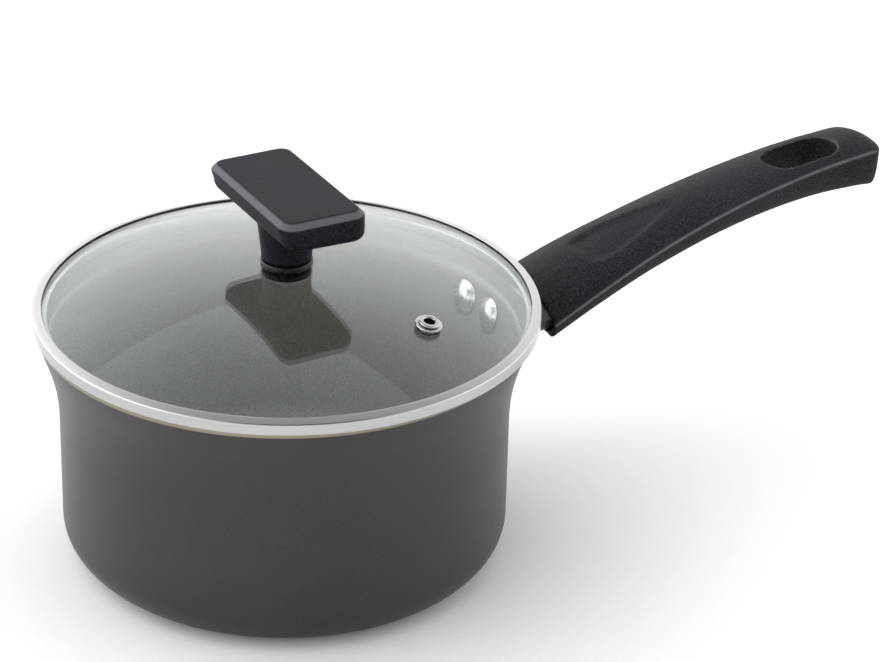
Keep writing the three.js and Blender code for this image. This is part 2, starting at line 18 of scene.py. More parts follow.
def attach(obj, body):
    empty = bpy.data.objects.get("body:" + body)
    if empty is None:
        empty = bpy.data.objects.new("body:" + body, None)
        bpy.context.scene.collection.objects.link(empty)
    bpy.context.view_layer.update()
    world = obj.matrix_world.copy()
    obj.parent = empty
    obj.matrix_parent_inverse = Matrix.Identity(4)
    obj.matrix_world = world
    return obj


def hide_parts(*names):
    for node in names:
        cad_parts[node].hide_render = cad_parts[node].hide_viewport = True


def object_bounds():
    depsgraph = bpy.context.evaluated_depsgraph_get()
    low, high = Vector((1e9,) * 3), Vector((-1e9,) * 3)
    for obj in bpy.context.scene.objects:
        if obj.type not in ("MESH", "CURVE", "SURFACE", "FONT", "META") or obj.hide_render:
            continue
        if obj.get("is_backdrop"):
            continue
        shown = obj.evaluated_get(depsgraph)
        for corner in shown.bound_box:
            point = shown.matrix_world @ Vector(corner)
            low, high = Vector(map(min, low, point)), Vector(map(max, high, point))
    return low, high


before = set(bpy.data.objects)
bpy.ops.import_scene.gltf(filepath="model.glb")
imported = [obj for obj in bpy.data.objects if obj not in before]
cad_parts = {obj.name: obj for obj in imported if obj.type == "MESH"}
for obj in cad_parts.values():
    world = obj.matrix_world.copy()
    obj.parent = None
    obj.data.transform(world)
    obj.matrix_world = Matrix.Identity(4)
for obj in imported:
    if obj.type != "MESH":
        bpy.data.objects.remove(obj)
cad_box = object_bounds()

log = logging.getLogger("saucepan")

MM = 0.001
HIGHLIGHT_ATTRIBUTE = "painted_edge_highlight"  # the mesh attribute that says how much painted highlight an edge gets, standing in for the light lines along creases and bevels
Profile = List[Tuple[float, float]]
Colour = Tuple[float, float, float]


# ---- finishes ----


class Texture(Enum):
    """The surface texture a finish carries."""

    GRAIN = "Grain"
    TURNED = "Turned lines"
    BRUSHED = "Brushed lines"


class EffectGroups:
    """Shader node groups that the finishes share, each built once."""

    BRUSH_STRETCH = (0.06, 1.0, 1.0)
    FINE = {"Detail": 4.0, "Roughness": 0.65}
    BROAD = {"Scale": 22.0, "Detail": 3.0}
    FLECK_RANGE = (0.42, 0.62)
    CLOUD_RANGE = (0.3, 0.7)
    FLECK_SHARE, CLOUD_SHARE = 0.7, 0.3

    def __init__(self) -> None:
        """Starts with no group built."""
        self._built: Dict[Texture, bpy.types.NodeTree] = {}

    def get(self, texture: Texture) -> bpy.types.NodeTree:
        """Gives the node group of a texture.

        Args:
            texture: The surface texture wanted.

        Returns:
            The group, with outputs Colour, Roughness and Height.
        """
        if texture not in self._built:
            self._built[texture] = self._build(texture)
        return self._built[texture]

    @staticmethod
    def _sockets(tree: bpy.types.NodeTree) -> None:
        """Gives a group its named inputs and outputs.

        Args:
            tree: The group.
        """
        sides = {
            "INPUT": [
                ("Vector", "Vector"),
                ("Scale", "Float"),
                ("Base", "Color"),
                ("Fleck", "Color"),
                ("Smooth", "Float"),
                ("Rough", "Float"),
            ],
            "OUTPUT": [("Colour", "Color"), ("Roughness", "Float"), ("Height", "Float")],
        }
        for side, sockets in sides.items():
            for name, kind in sockets:
                tree.interface.new_socket(
                    name=name, in_out=side, socket_type="NodeSocket" + kind
                )

    def _build(self, texture: Texture) -> bpy.types.NodeTree:
        """Builds one group.

        Args:
            texture: The surface texture that the group makes.

        Returns:
            The new group.
        """
        tree = bpy.data.node_groups.new(texture.value, "ShaderNodeTree")
        self._sockets(tree)
        nodes, links = tree.nodes, tree.links
        source = nodes.new("NodeGroupInput")
        result = nodes.new("NodeGroupOutput")
        place = source.outputs["Vector"]
        if texture is Texture.TURNED:
            place = self._radial(tree, place)
        elif texture is Texture.BRUSHED:
            stretch = nodes.new("ShaderNodeMapping")
            stretch.inputs["Scale"].default_value = self.BRUSH_STRETCH
            links.new(place, stretch.inputs["Vector"])
            place = stretch.outputs["Vector"]
        fine, flecks = self._noise(tree, place, self.FINE, self.FLECK_RANGE)
        links.new(source.outputs["Scale"], fine.inputs["Scale"])
        _, clouds = self._noise(tree, source.outputs["Vector"], self.BROAD, self.CLOUD_RANGE)
        both = nodes.new("ShaderNodeMath")
        both.operation = "MULTIPLY_ADD"
        both.inputs[1].default_value = self.FLECK_SHARE
        links.new(flecks, both.inputs[0])
        faint = nodes.new("ShaderNodeMath")
        faint.operation = "MULTIPLY"
        faint.inputs[1].default_value = self.CLOUD_SHARE
        links.new(clouds, faint.inputs[0])
        links.new(faint.outputs["Value"], both.inputs[2])
        for kind, low, high, out in (
            ("RGBA", "Base", "Fleck", "Colour"), ("FLOAT", "Smooth", "Rough", "Roughness"),
        ):
            mix = nodes.new("ShaderNodeMix")
            mix.data_type = kind
            links.new(both.outputs["Value"], mix.inputs["Factor"])
            links.new(source.outputs[low], mix.inputs["A"])
            links.new(source.outputs[high], mix.inputs["B"])
            links.new(mix.outputs["Result"], result.inputs[out])
        links.new(fine.outputs["Fac"], result.inputs["Height"])
        return tree

    @staticmethod
    def _noise(
        tree: bpy.types.NodeTree,
        place: bpy.types.NodeSocket,
        settings: Dict[str, float],
        span: Tuple[float, float],
    ) -> Tuple[bpy.types.Node, bpy.types.NodeSocket]:
        """Adds a noise whose middle values are spread out from 0 to 1.

        Args:
            tree: The group being built.
            place: The socket that holds the place.
            settings: The noise's own values.
            span: The noise's values that become 0 and 1.

        Returns:
            The noise node, and the socket that holds the spread values.
        """
        noise = tree.nodes.new("ShaderNodeTexNoise")
        for key, value in settings.items():
            noise.inputs[key].default_value = value
        tree.links.new(place, noise.inputs["Vector"])
        spread = tree.nodes.new("ShaderNodeMapRange")
        spread.inputs["From Min"].default_value, spread.inputs["From Max"].default_value = span
        tree.links.new(noise.outputs["Fac"], spread.inputs["Value"])
        return noise, spread.outputs["Result"]

    @staticmethod
    def _radial(
        tree: bpy.types.NodeTree, place: bpy.types.NodeSocket
    ) -> bpy.types.NodeSocket:
        """Turns a place into its distance from the axis and its height, for turned rings.

        Args:
            tree: The group being built.
            place: The socket that holds the place.

        Returns:
            A socket whose pattern runs round the axis.
        """
        nodes, links = tree.nodes, tree.links
        split = nodes.new("ShaderNodeSeparateXYZ")
        flat = nodes.new("ShaderNodeCombineXYZ")
        length = nodes.new("ShaderNodeVectorMath")
        length.operation = "LENGTH"
        joined = nodes.new("ShaderNodeCombineXYZ")
        links.new(place, split.inputs["Vector"])
        links.new(split.outputs["X"], flat.inputs["X"])
        links.new(split.outputs["Y"], flat.inputs["Y"])
        links.new(flat.outputs["Vector"], length.inputs[0])
        links.new(length.outputs["Value"], joined.inputs["X"])
        links.new(split.outputs["Z"], joined.inputs["Z"])
        return joined.outputs["Vector"]


GROUPS = EffectGroups()


def textured(
    name: str,
    texture: Texture,
    values: Dict[str, float | Colour],
    shader_values: Dict[str, float | Colour],
    strength: float,
    relief: float,
) -> Tuple[bpy.types.Material, bpy.types.Node, bpy.types.Node]:
    """Makes a material whose colour, roughness and bump come from an effect group.

    Args:
        name: The material's name.
        texture: The surface texture.
        values: The group's inputs.
        shader_values: The shader's own inputs, which are the same all over.
        strength: How strong the bump is.
        relief: How deep the bump is, in millimetres.

    Returns:
        The material, its shader and its effect group.
    """
    material = bpy.data.materials.new(name)
    material.use_nodes = True
    nodes, links = material.node_tree.nodes, material.node_tree.links
    shader = nodes["Principled BSDF"]
    place = nodes.new("ShaderNodeTexCoord")
    effect = nodes.new("ShaderNodeGroup")
    effect.node_tree = GROUPS.get(texture)
    bump = nodes.new("ShaderNodeBump")
    bump_values = {"Strength": strength, "Distance": relief * MM}
    for node, settings in ((effect, values), (shader, shader_values), (bump, bump_values)):
        for key, value in settings.items():
            node.inputs[key].default_value = (*value, 1.0) if isinstance(value, tuple) else value
    links.new(place.outputs["Object"], effect.inputs["Vector"])
    links.new(effect.outputs["Colour"], shader.inputs["Base Color"])
    links.new(effect.outputs["Roughness"], shader.inputs["Roughness"])
    links.new(effect.outputs["Height"], bump.inputs["Height"])
    links.new(bump.outputs["Normal"], shader.inputs["Normal"])
    return material, shader, effect


def see_through(
    material: bpy.types.Material, when: bpy.types.NodeSocket, tint: Colour = (1.0, 1.0, 1.0)
) -> None:
    """Makes a material clear where a socket says so.

    Args:
        material: The material, which is changed.
        when: The socket, 1 where the material is clear.
        tint: The colour of what is seen through it there.
    """
    nodes, links = material.node_tree.nodes, material.node_tree.links
    clear = nodes.new("ShaderNodeBsdfTransparent")
    clear.inputs["Color"].default_value = (*tint, 1.0)
    choose = nodes.new("ShaderNodeMixShader")
    links.new(when, choose.inputs["Fac"])
    links.new(nodes["Principled BSDF"].outputs["BSDF"], choose.inputs[1])
    links.new(clear.outputs["BSDF"], choose.inputs[2])
    links.new(choose.outputs["Shader"], nodes["Material Output"].inputs["Surface"])


@dataclass(frozen=True)
class Finish:
    """An opaque finish.

    The base and fleck colours and the two roughnesses are mixed by the texture.
    """

    name: str
    base: Colour
    fleck: Colour
    smooth: float
    rough: float
    metallic: float = 0.0
    texture: Texture = Texture.GRAIN
    scale: float = 1500.0
    relief: float = 0.02
    strength: float = 0.6
    specular: float = 0.5
    # painted highlight colour, laid on creases and bevels where the edge attribute says, standing in
    # for their light lines
    painted_highlight_colour: Colour | None = None

    def build(self) -> bpy.types.Material:
        """Gives the finish's material, made the first time it is asked for.

        Returns:
            The material.
        """
        found = bpy.data.materials.get(self.name)
        if found:
            return found
        material, shader, effect = textured(
            self.name, self.texture,
            {"Scale": self.scale, "Base": self.base, "Fleck": self.fleck,
             "Smooth": self.smooth, "Rough": self.rough},
            {"Metallic": self.metallic, "Specular IOR Level": self.specular},
            self.strength, self.relief,
        )
        # mixes the painted highlight colour in where the mesh's edge attribute says so
        if self.painted_highlight_colour:
            nodes, links = material.node_tree.nodes, material.node_tree.links
            edge = nodes.new("ShaderNodeAttribute")
            edge.attribute_name = HIGHLIGHT_ATTRIBUTE
            painted_highlight = nodes.new("ShaderNodeMix")
            painted_highlight.data_type = "RGBA"
            painted_highlight.inputs["B"].default_value = (*self.painted_highlight_colour, 1.0)
            links.new(edge.outputs["Fac"], painted_highlight.inputs["Factor"])
            links.new(effect.outputs["Colour"], painted_highlight.inputs["A"])
            links.new(painted_highlight.outputs["Result"], shader.inputs["Base Color"])
        return material


@dataclass(frozen=True)
class GlassFinish:
    """Clear glass that lets light fall through to what is under it."""

    name: str = "Tempered glass"
    tint: Colour = (0.93, 0.96, 0.95)
    cloud: float = 0.985
    sheen: Colour = (0.86, 0.97, 1.0)
    shadow: Colour = (0.86, 0.88, 0.87)
    ior: float = 1.52
    rough: float = 0.02
    scale: float = 60.0
    relief: float = 0.012
    strength: float = 0.2

    def build(self) -> bpy.types.Material:
        """Gives the glass material, made the first time it is asked for.

        Returns:
            The material.
        """
        found = bpy.data.materials.get(self.name)
        if found:
            return found
        cloudy = tuple(self.cloud * part for part in self.tint)
        material, _, _ = textured(
            self.name, Texture.GRAIN,
            {"Scale": self.scale, "Base": self.tint, "Fleck": cloudy,
             "Smooth": 0.0, "Rough": self.rough},
            {"Transmission Weight": 1.0, "Specular Tint": self.sheen, "IOR": self.ior},
            self.strength, self.relief,
        )
        ray = material.node_tree.nodes.new("ShaderNodeLightPath")
        see_through(material, ray.outputs["Is Shadow Ray"], self.shadow)
        return material


COATING = Finish(
    "Matt outer coating", (0.009, 0.0082, 0.0072), (0.026, 0.0245, 0.0222), 0.34, 0.48,
    scale=2200.0, relief=0.03, specular=0.5,
)
NON_STICK = Finish(
    "Non-stick lining", (0.250, 0.238, 0.215), (0.330, 0.318, 0.290), 0.20, 0.32,
    scale=1800.0, relief=0.02, specular=0.7,
)
BARE_RIM = Finish(
    "Machined bare rim", (0.22, 0.19, 0.145), (0.34, 0.305, 0.24), 0.25, 0.42,
    metallic=1.0, texture=Texture.TURNED, scale=2500.0, relief=0.02,
)
BASE_RINGS = Finish(
    "Turned base", (0.38, 0.38, 0.38), (0.60, 0.60, 0.60), 0.3, 0.45,
    metallic=1.0, texture=Texture.TURNED, scale=1600.0, relief=0.05,
)
POLISHED_ALUMINIUM = Finish(
    "Polished aluminium", (0.58, 0.58, 0.58), (0.72, 0.72, 0.72), 0.22, 0.36,
    metallic=1.0, scale=900.0, relief=0.008,
)
POLISHED_STEEL = Finish(
    "Polished stainless steel", (0.43, 0.43, 0.42), (0.53, 0.53, 0.52), 0.08, 0.17,
    metallic=1.0, texture=Texture.TURNED, scale=3500.0, relief=0.003,
)
GUARD_STEEL = Finish(
    "Painted guard steel", (0.022, 0.022, 0.023), (0.040, 0.040, 0.041), 0.32, 0.45,
    scale=1300.0, relief=0.02,
)
ZINC_STEEL = Finish(
    "Zinc-plated steel", (0.48, 0.49, 0.50), (0.66, 0.67, 0.68), 0.25, 0.4,
    metallic=1.0, texture=Texture.BRUSHED, scale=900.0, relief=0.01,
)
# the last colour of each phenolic is a painted highlight for its creases and top bevel
HANDLE_PHENOLIC = Finish(
    "Textured phenolic", (0.001, 0.0014, 0.003), (0.034, 0.0365, 0.042), 0.46, 0.62,
    scale=1500.0, relief=0.55, specular=0.09, painted_highlight_colour=(0.17, 0.175, 0.185),
)
KNOB_PHENOLIC = Finish(
    "Satin phenolic", (0.001, 0.0015, 0.003), (0.024, 0.0270, 0.033), 0.38, 0.52,
    scale=1800.0, relief=0.3, specular=0.07, painted_highlight_colour=(0.11, 0.115, 0.125),
)
SILICONE = Finish(
    "Dark silicone", (0.005, 0.005, 0.006), (0.009, 0.009, 0.011), 0.24, 0.36,
    scale=700.0, relief=0.004, specular=0.35,
)
BRASS = Finish(
    "Brass", (0.60, 0.42, 0.16), (0.76, 0.56, 0.26), 0.2, 0.35,
    metallic=1.0, texture=Texture.TURNED, scale=1500.0, relief=0.01,
)
GLASS = GlassFinish()


# ---- mesh tools ----


def arc(
    centre: Tuple[float, float], radius: float, start: float, end: float, steps: int
) -> Profile:
    """Gives the points of an arc in a profile.

    Args:
        centre: Radius and height of the arc's centre.
        radius: The arc's radius.
        start: Where it starts, in degrees from outwards, upwards positive.
        end: Where it ends.
        steps: How many straight pieces it has.

    Returns:
        The points, both ends among them.
    """
    angles = [math.radians(start + (end - start) * i / steps) for i in range(steps + 1)]
    return [
        (centre[0] + radius * math.cos(a), centre[1] + radius * math.sin(a)) for a in angles
    ]


def turned(profile: Profile, closed: bool = True, steps: int = 192) -> bmesh.types.BMesh:
    """Spins a profile once round the Z axis.

    Args:
        profile: Radii and heights in millimetres.
        closed: Whether the profile is a loop, as a ring's is. Otherwise both ends are on the axis.
        steps: How many flats the piece has.

    Returns:
        The closed mesh, its faces outwards.
    """
    bm = bmesh.new()
    points = [bm.verts.new((r * MM, 0.0, z * MM)) for r, z in profile]
    pairs = list(zip(points, points[1:])) + ([(points[-1], points[0])] if closed else [])
    line = [bm.edges.new(pair) for pair in pairs]
    bmesh.ops.spin(
        bm, geom=points + line, cent=(0, 0, 0), axis=(0, 0, 1), dvec=(0, 0, 0),
        angle=math.tau, steps=steps, use_merge=True, use_duplicate=False,
    )
    bmesh.ops.remove_doubles(bm, verts=bm.verts, dist=1e-7)
    bmesh.ops.recalc_face_normals(bm, faces=bm.faces)
    return bm


def rod(
    radius: float, low: float, high: float, x: float = 0.0, segments: int = 64
) -> bmesh.types.BMesh:
    """Makes an upright rod, to cut a hole with.

    Args:
        radius: Its radius, in millimetres as all its sizes are.
        low: Height of its foot.
        high: Height of its top.
        x: Distance of its axis from the Z axis, along X.
        segments: How many flats it has.

    Returns:
        The closed mesh.
    """
    bm = bmesh.new()
    bmesh.ops.create_cone(
        bm, cap_ends=True, segments=segments, radius1=radius * MM, radius2=radius * MM,
        depth=(high - low) * MM,
    )
    bmesh.ops.translate(bm, verts=bm.verts, vec=(x * MM, 0, (low + high) / 2 * MM))
    return bm


def lofted(
    outline: Sequence[Tuple[float, float]],
    steps: int,
    place: Callable[[int, float, float], Vector],
) -> bmesh.types.BMesh:
    """Draws an outline out through many sections.

    Args:
        outline: The unit section, once round.
        steps: How many times it is extruded.
        place: Gives where a point of the outline is in a section, in metres.

    Returns:
        The closed mesh, capped at both ends, its faces outwards.
    """
    bm = bmesh.new()
    index = bm.verts.layers.int.new("outline")
    ring = [bm.verts.new(place(0, *point)) for point in outline]
    for i, vert in enumerate(ring):
        vert[index] = i
    edges = [bm.edges.new(pair) for pair in zip(ring, ring[1:] + ring[:1])]
    bmesh.ops.contextual_create(bm, geom=edges)
    for step in range(1, steps + 1):
        made = bmesh.ops.extrude_edge_only(bm, edges=edges)["geom"]
        fresh = [part for part in made if isinstance(part, bmesh.types.BMVert)]
        for vert in fresh:
            vert.co = place(step, *outline[vert[index]])
        kept = set(fresh)
        edges = [
            part for part in made
            if isinstance(part, bmesh.types.BMEdge) and kept.issuperset(part.verts)
        ]
    bmesh.ops.contextual_create(bm, geom=edges)
    bmesh.ops.recalc_face_normals(bm, faces=bm.faces)
    return bm


def as_object(name: str, bm: bmesh.types.BMesh) -> bpy.types.Object:
    """Makes a scene object of a mesh and frees the bmesh.

    Args:
        name: The object's name.
        bm: Its shape, in place.

    Returns:
        The object, at the origin.
    """
    mesh = bpy.data.meshes.new(name)
    bm.to_mesh(mesh)
    bm.free()
    piece = bpy.data.objects.new(name, mesh)
    bpy.context.scene.collection.objects.link(piece)
    return piece


def settle(piece: bpy.types.Object) -> None:
    """Makes a piece's modifiers part of its mesh.

    Args:
        piece: The piece, which is changed.
    """
    shaped = bpy.data.meshes.new_from_object(
        piece.evaluated_get(bpy.context.evaluated_depsgraph_get())
    )
    piece.modifiers.clear()
    piece.data = shaped


def cut(piece: bpy.types.Object, cutter: bmesh.types.BMesh) -> None:
    """Takes a shape away from a piece.

    Args:
        piece: The piece, which is changed.
        cutter: What is taken away.
    """
    _combine(piece, cutter, "DIFFERENCE")


def join(piece: bpy.types.Object, addition: bmesh.types.BMesh) -> None:
    """Joins a shape to a piece.

    Args:
        piece: The piece, which is changed.
        addition: What is added.
    """
    _combine(piece, addition, "UNION")


def _combine(piece: bpy.types.Object, other: bmesh.types.BMesh, operation: str) -> None:
    """Cuts or joins with an exact boolean.

    Args:
        piece: The piece, which is changed.
        other: The other shape.
        operation: DIFFERENCE or UNION.
    """
    tool = as_object("tool", other)
    boolean = piece.modifiers.new("boolean", "BOOLEAN")
    boolean.operation = operation
    boolean.solver = "EXACT"
    boolean.object = tool
    bpy.context.view_layer.update()
    settle(piece)
    bpy.data.objects.remove(tool)


def soften(
    piece: bpy.types.Object, cell: float, passes: int, painted_highlight: Callable[[Vector, Vector], float]
) -> None:
    """Rounds every edge of a moulded piece a little, by an even mesh that is smoothed.

    Args:
        piece: The piece, which is changed.
        cell: Size of the even mesh, in millimetres.
        passes: How many times it is smoothed.
        painted_highlight: Says how much painted highlight the surface gets, from a place in
            millimetres and its normal.
    """
    remesh = piece.modifiers.new("even", "REMESH")
    remesh.mode = "VOXEL"
    remesh.voxel_size = cell * MM
    bpy.context.view_layer.update()
    settle(piece)
    bm = bmesh.new()
    bm.from_mesh(piece.data)
    for _ in range(passes):
        bmesh.ops.smooth_vert(
            bm, verts=bm.verts, factor=0.5,
            use_axis_x=True, use_axis_y=True, use_axis_z=True,
        )
    bm.normal_update()
    # stores on each vertex how much painted highlight it gets
    highlight_layer = bm.verts.layers.float.new(HIGHLIGHT_ATTRIBUTE)
    for vert in bm.verts:
        vert[highlight_layer] = painted_highlight(vert.co / MM, vert.normal)
    bm.to_mesh(piece.data)
    bm.free()


def dress(
    piece: bpy.types.Object,
    finishes: Sequence[Finish | GlassFinish],
    body: str,
    nodes: Sequence[str],
    crease: float = 32.0,
) -> None:
    """Gives a piece its finishes, its shading, its body and the CAD nodes it stands for.

    Args:
        piece: The piece, in place.
        finishes: Its finishes, in the order of its faces' material numbers.
        body: The body it rides on.
        nodes: The CAD nodes it replaces.
        crease: Edges sharper than this many degrees stay crisp.
    """
    for finish in finishes:
        piece.data.materials.append(finish.build())
    piece.data.shade_smooth()
    piece.data.set_sharp_from_angle(angle=math.radians(crease))
    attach(piece, body)
    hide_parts(*nodes)
    log.info("%s: %d faces, stands for %s", piece.name, len(piece.data.polygons), nodes)


def redress(node: str, finish: Finish) -> None:
    """Gives a CAD node a better finish.

    Args:
        node: The node's name.
        finish: Its finish.
    """
    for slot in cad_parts[node].material_slots:
        slot.link = "OBJECT"
        slot.material = finish.build()
    log.info("%s: %s", node, finish.name)


# ---- pan ----


@dataclass
class PanBody:
    """The drawn aluminium body, with its flare, lid seat and turned base."""

    wall_radius: float = 83.6
    height: float = 93.1
    wall: float = 2.8
    base: float = 3.2
    corner: float = 13.5
    flare_foot: float = 54.3
    flare_radius: float = 84.0
    flare_tilt: float = 18.75
    seat_drop: float = 9.5
    seat_cut: float = 0.8
    rim_round: float = 0.6
    seat_round: float = 0.35
    grooves: Tuple[float, float] = (36.0, 58.0)
    groove_width: float = 4.0
    groove_depth: float = 0.6
    groove_slope: float = 0.3
    bare_width: float = 1.5

    def outer(self, height: float, offset: float = 0.0) -> float:
        """Gives the wall's radius.

        Args:
            height: Height above the floor.
            offset: Distance outwards from the outer face.

        Returns:
            The radius at that height.
        """
        tilt = math.radians(self.flare_tilt)
        centre = self.wall_radius + self.flare_radius
        reach = self.flare_radius - offset
        if height <= self.flare_foot:
            return self.wall_radius + offset
        if height <= self.flare_foot + reach * math.sin(tilt):
            return centre - math.sqrt(reach**2 - (height - self.flare_foot) ** 2)
        foot = self.flare_foot + reach * math.sin(tilt)
        return centre - reach * math.cos(tilt) + (height - foot) * math.tan(tilt)

    def profile(self) -> Profile:
        """Gives the wall's outline from the middle of the underside round to the cooking face.

        Returns:
            Its radii and heights.
        """
        inside = -self.wall
        seat = self.seat_cut - self.wall
        seat_height = self.height - self.seat_drop
        corner = self.wall_radius - self.corner
        line: Profile = [(0.0, 0.0)]
        for groove in self.grooves:
            low, high = groove - self.groove_width / 2, groove + self.groove_width / 2
            deep, slope = self.groove_depth, self.groove_slope
            line += [
                (low - slope, 0.0), (low, deep / 2), (low + slope, deep),
                (high - slope, deep), (high, deep / 2), (high + slope, 0.0),
            ]
        line += [(corner - 3.0, 0.0)] + arc((corner, self.corner), self.corner, -90, 0, 16)
        heights = [self.flare_foot + (self.height - 1.5 - self.flare_foot) * i / 24
                   for i in range(25)]
        line += [(self.wall_radius, 24.0), (self.wall_radius, 40.0)]
        line += [(self.outer(h), h) for h in heights]
        out, rim_in = self.outer(self.height), self.outer(self.height, seat)
        round_off = self.rim_round
        line += [
            (self.outer(self.height - round_off), self.height - round_off),
            (out - 0.2, self.height - 0.15), (out - round_off, self.height),
            (rim_in + round_off, self.height), (rim_in + 0.15, self.height - 0.15),
            (self.outer(self.height - round_off, seat), self.height - round_off),
        ]
        for i in range(1, 6):
            h = self.height - round_off - (self.seat_drop - round_off - 0.6) * i / 5
            line.append((self.outer(h, seat), h))
        line += [
            (self.outer(seat_height + 0.25, seat - 0.12), seat_height + 0.25),
            (self.outer(seat_height, inside + 0.2), seat_height),
            (self.outer(seat_height - self.seat_round, inside), seat_height - self.seat_round),
        ]
        top = seat_height - self.seat_round
        for i in range(1, 17):
            h = top - (top - self.flare_foot) * i / 16
            line.append((self.outer(h, inside), h))
        inner = self.corner - self.wall
        centre = (self.wall_radius - self.wall - inner, self.base + inner)
        line += [(self.wall_radius - self.wall, 40.0), (self.wall_radius - self.wall, 26.0)]
        line += arc(centre, inner, 0, -90, 14)
        line += [(corner - 12.0, self.base), (36.0, self.base), (0.0, self.base)]
        return line

    def build(self) -> None:
        """Builds the body and gives its inside, outside, rim and base their own finishes."""
        piece = as_object("saucepan_body", turned(self.profile(), closed=False, steps=256))
        for face in piece.data.polygons:
            place, way = face.center / MM, face.normal
            radius = math.hypot(place.x, place.y)
            outward = way.x * place.x + way.y * place.y
            rim = place.z > self.height - self.bare_width
            under = place.z < 1.0 and way.z < -0.2 and radius < self.wall_radius - self.corner + 1
            inside = outward < 0 or (way.z > 0.5 and not rim)
            face.material_index = 2 if rim else 3 if under else 1 if inside else 0
        dress(piece, [COATING, NON_STICK, BARE_RIM, BASE_RINGS], "pan",
              ["pan_body"], crease=40.0)


@dataclass
class Rivets:
    """The two domed rivets that hold the bracket."""

    pan: PanBody
    height: float = 74.5
    spread: float = 18.2
    shank: float = 2.8
    head: float = 6.6
    head_height: float = 2.6
    shop_head: float = 3.5
    shop_height: float = 1.7
    grip: float = 3.1
    shop_seat: float = 2.9
    sag: float = 0.27

    def profile(self) -> Profile:
        """Gives the rivet's outline from its domed head to its closed end.

        Returns:
            Its radii and heights along its own axis.
        """
        seat = -self.grip - self.sag
        dome = (self.head**2 + self.head_height**2) / (2 * self.head_height)
        sweep = math.degrees(math.asin(self.head / dome))
        line = arc((0.0, seat - self.head_height + dome), dome, -90, sweep - 90 - 2, 10)
        return line + [
            (self.head, seat - 0.15), (self.head - 0.2, seat), (self.shank, seat),
            (self.shank, self.shop_seat), (self.shop_head, self.shop_seat),
            (self.shop_head, self.shop_seat + self.shop_height / 2),
            (self.shop_head * 0.85, self.shop_seat + self.shop_height * 0.85),
            (self.shop_head * 0.6, self.shop_seat + self.shop_height),
            (0.0, self.shop_seat + self.shop_height),
        ]

    def build(self) -> None:
        """Builds both rivets in their holes."""
        radius = self.pan.outer(self.height)
        angle = math.asin(self.spread / 2 / radius)
        tilt = math.asin((self.height - self.pan.flare_foot) / self.pan.flare_radius)
        for name, side in (("left", 1), ("right", -1)):
            bm = turned(self.profile(), closed=False, steps=64)
            turn = Matrix.Rotation(side * angle, 4, "Z")
            lean = Matrix.Rotation(math.pi / 2 + tilt, 4, "Y")
            place = turn @ Matrix.Translation((radius * MM, 0, self.height * MM)) @ lean
            bmesh.ops.transform(bm, matrix=place, verts=bm.verts)
            piece = as_object(f"domed_rivet_{name}", bm)
            dress(piece, [POLISHED_ALUMINIUM], "pan", [f"rivet_{name}"])


# ---- handle ----


def unit_section(points: int = 28) -> List[Tuple[float, float]]:
    """Gives the handle's section: a crown like a low bow, crisp side creases and a rounded belly.

    Args:
        points: How many pieces the crown has.

    Returns:
        The outline, from -1 to 1 across, 1 at the crown and -1 at the belly.
    """
    crown = [(1 - 2 * i / points, 1 - (1 - 2 * i / points) ** 2) for i in range(points + 1)]
    side = [(-0.985, -0.22), (-0.97, -0.45), (-0.945, -0.65), (-0.9, -0.83), (-0.84, -0.95),
            (-0.76, -1.0)]
    floor = [(-0.4, -1.0), (0.0, -1.0), (0.4, -1.0)]
    return crown + side + floor + [(-x, y) for x, y in reversed(side)]


@dataclass
class FlameGuard:
    """The sheet-steel sleeve between the wall and the handle's mouth."""

    pan: PanBody
    wall: float = 1.0
    end: float = 112.0
    steps: int = 14
    gap: float = 0.3
    at_wall: Tuple[float, float, float, float] = (20.0, 27.4, 18.2, 13.0)
    at_end: Tuple[float, float, float, float] = (19.4, 23.4, 19.0, 15.0)

    def section(self, x: float, inset: float = 0.0) -> Tuple[float, float, float, float]:
        """Gives the sleeve's half-width, foot, shoulder and crown.

        Args:
            x: Distance from the pan's axis.
            inset: How far inside the outer face.

        Returns:
            The four sizes, as heights above the floor after the first.
        """
        along = (x - self.pan.wall_radius) / (self.end - self.pan.wall_radius)
        half, foot, shoulder, crown = (
            a + (b - a) * along for a, b in zip(self.at_wall, self.at_end)
        )
        rim = self.pan.height
        return half - inset, rim - foot + inset, rim - shoulder, rim - crown - inset

    def _solid(self, inset: float, start: float, end: float) -> bmesh.types.BMesh:
        """Builds a solid of the sleeve's section that follows the wall at its start.

        Args:
            inset: How far it is inside the sleeve's outer face.
            start: How far from the wall's gap it starts.
            end: Where it ends, from the pan's axis.

        Returns:
            The closed mesh.
        """

        def place(step: int, u: float, v: float) -> Vector:
            """Gives where a point of the section is, in metres.

            Args:
                step: Which section, from the inner end.
                u: Across, from -1 to 1.
                v: Up, from -1 at the foot to 1 at the crown.

            Returns:
                The place.
            """
            along = step / self.steps
            x = end
            for _ in range(3):
                half, low, middle, high = self.section(x, inset)
                y = u * half
                z = middle + (v * (high - middle) if v > 0 else v * (middle - low))
                wall = math.sqrt(max(self.pan.outer(z) ** 2 - y**2, 1.0)) + self.gap + start
                x = wall + (end - wall) * along
            return Vector((x, y, z)) * MM

        return lofted(unit_section(), self.steps, place)

    def build(self) -> None:
        """Builds the sleeve."""
        piece = as_object("flame_guard_sleeve", self._solid(0.0, 0.0, self.end))
        cut(piece, self._solid(self.wall, -4.0, self.end + 4.0))
        dress(piece, [GUARD_STEEL], "pan", ["flame_guard"])


